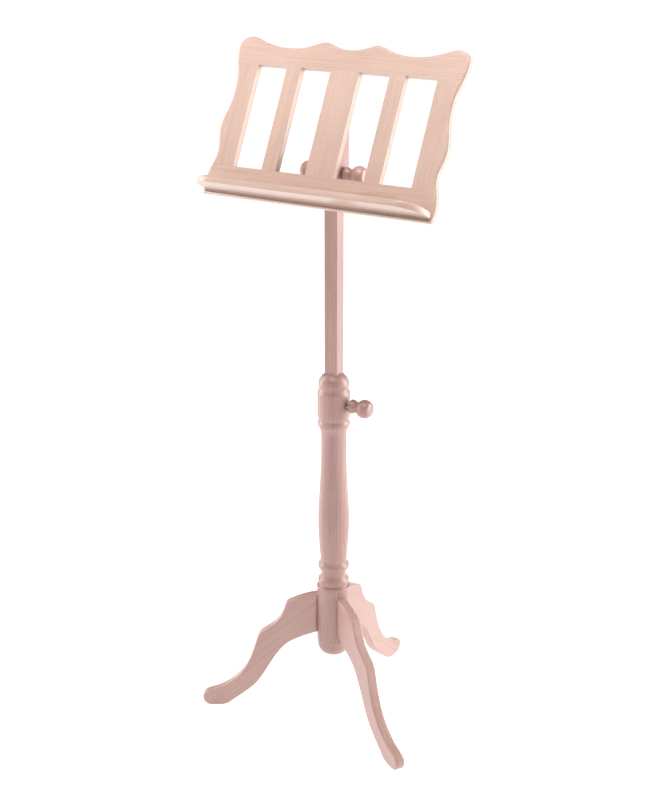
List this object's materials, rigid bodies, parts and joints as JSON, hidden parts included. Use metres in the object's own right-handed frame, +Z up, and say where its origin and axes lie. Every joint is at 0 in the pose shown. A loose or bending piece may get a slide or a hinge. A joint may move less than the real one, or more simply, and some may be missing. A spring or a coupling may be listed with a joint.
{
  "type": "music stand",
  "caption": "Turned wooden music stand with scrolled tripod legs, a clamped height mast and a tilting slatted desk with a ledge.",
  "frame": {"origin": "on the floor, on the vertical axis of the column", "axes": "+Z up along the column; the musician stands at -Y and looks along +Y; +X to the musician's right, towards the clamp knob"},
  "size_m": [0.4936, 0.4208, 1.3596],
  "materials": {
    "beech": "satin",
    "steel": "satin",
    "brass": "satin"
  },
  "bodies": {
    "base": {"column": "beech", "leg_back": "beech", "leg_left": "beech", "leg_right": "beech", "leg_dowels": "beech", "clamp_insert": "brass"},
    "clamp_pad": {"clamp_pad": "steel"},
    "clamp_knob": {"clamp_knob": "beech", "clamp_screw": "steel"},
    "mast": {"mast": "beech", "tilt_rod": "steel"},
    "desk": {"top_rail": "beech", "bottom_rail": "beech", "left_stile": "beech", "right_stile": "beech", "left_slat": "beech", "centre_slat": "beech", "right_slat": "beech", "ledge": "beech", "cheek_right": "beech", "cheek_left": "beech", "frame_dowels": "beech", "cheek_dowels": "beech", "ledge_screws": "steel"},
    "washer_right": {"tilt_washer_right": "steel"},
    "knob_right": {"tilt_knob_right": "beech", "tilt_insert_right": "brass"},
    "washer_left": {"tilt_washer_left": "steel"},
    "knob_left": {"tilt_knob_left": "beech", "tilt_insert_left": "brass"}
  },
  "joints": [
    {"name": "mast_slide", "type": "slide", "parent": "base", "child": "mast", "axis": [0, 0, 1], "range_m": [-0.24, 0.08]},
    {"name": "desk_tilt", "type": "hinge", "parent": "mast", "child": "desk", "pos_m": [0, 0, 1.132], "axis": [1, 0, 0], "range_deg": [-63, 27]},
    {"name": "clamp_pad_slide", "type": "slide", "parent": "base", "child": "clamp_pad", "axis": [1, 0, 0], "range_m": [0, 0.00125]},
    {"name": "clamp_knob_turn", "type": "hinge", "parent": "clamp_pad", "child": "clamp_knob", "pos_m": [0, 0, 0.681], "axis": [1, 0, 0], "range_deg": [0, 360]},
    {"name": "right_washer_slide", "type": "slide", "parent": "mast", "child": "washer_right", "axis": [1, 0, 0], "range_m": [0, 0.00125]},
    {"name": "right_knob_turn", "type": "hinge", "parent": "washer_right", "child": "knob_right", "pos_m": [0, 0, 1.132], "axis": [1, 0, 0], "range_deg": [0, 360]},
    {"name": "left_washer_slide", "type": "slide", "parent": "mast", "child": "washer_left", "axis": [-1, 0, 0], "range_m": [0, 0.00125]},
    {"name": "left_knob_turn", "type": "hinge", "parent": "washer_left", "child": "knob_left", "pos_m": [0, 0, 1.132], "axis": [-1, 0, 0], "range_deg": [0, 360]}
  ],
  "couplings": [
    {"joint": "clamp_knob_turn", "follows": "clamp_pad_slide", "rad_per_m": 5026.5},
    {"joint": "right_knob_turn", "follows": "right_washer_slide", "rad_per_m": 5026.5},
    {"joint": "left_knob_turn", "follows": "left_washer_slide", "rad_per_m": 5026.5}
  ]
}
